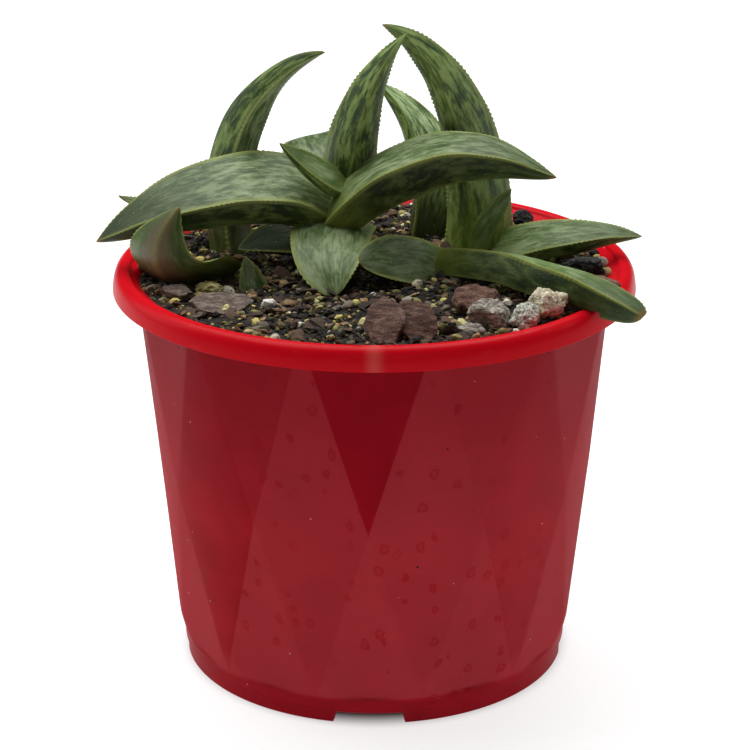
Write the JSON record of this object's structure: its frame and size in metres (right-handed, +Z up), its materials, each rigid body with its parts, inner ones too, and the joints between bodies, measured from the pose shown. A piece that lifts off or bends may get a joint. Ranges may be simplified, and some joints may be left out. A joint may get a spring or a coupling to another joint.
{
  "type": "potted gasteria-like succulent",
  "caption": "Thick-leaved mottled succulent with keeled arching leaves in a faceted red plastic nursery pot, with gritty bark soil.",
  "frame": {"origin": "centre of the pot's foot, on the surface it stands on", "axes": "+Z up along the pot's axis, -Y to the front, +X to the right as seen from the front"},
  "size_m": [0.146, 0.14, 0.173],
  "materials": {
    "pot": "moulded red polypropylene, slightly dusty",
    "soil": "dark bark and grit mix with perlite crumbs",
    "leaf": "waxy succulent leaf, mottled dark and light green, pale margin",
    "leaf_cupped": "waxy succulent leaf with a purple-brown flushed back",
    "crown": "short fleshy stem",
    "bark": "rough composted pine bark",
    "stone": "rough porous stone",
    "pebble": "rough yellow pumice",
    "charcoal": "broken charcoal"
  },
  "bodies": {
    "root": {"bark_chip_flat": "bark", "bark_chip_grey": "bark", "bark_chip_grey_small": "bark", "bark_chip_left": "bark", "bark_chip_red": "bark", "bark_chip_rim": "bark", "bark_plate_left": "bark", "bark_plate_right": "bark", "charcoal_lump": "charcoal", "crown_left": "crown", "crown_right": "crown", "dark_chunk_back": "bark", "leaf_back_arching": "leaf", "leaf_back_inner": "leaf", "leaf_cupped": "leaf_cupped", "leaf_front_centre": "leaf", "leaf_front_drooping": "leaf", "leaf_left_arching": "leaf", "leaf_left_hidden": "leaf", "leaf_left_low": "leaf", "leaf_left_outer": "leaf", "leaf_left_young": "leaf", "leaf_pup": "leaf", "leaf_right_arching": "leaf", "leaf_right_front": "leaf", "leaf_right_side": "leaf", "leaf_right_young": "leaf", "leaf_tall_arching": "leaf", "leaf_upright": "leaf", "pebble_yellow": "pebble", "pot": "pot", "soil": "soil", "stone_tan": "stone", "stone_white": "stone", "twig_stub": "bark"}
  },
  "joints": []
}
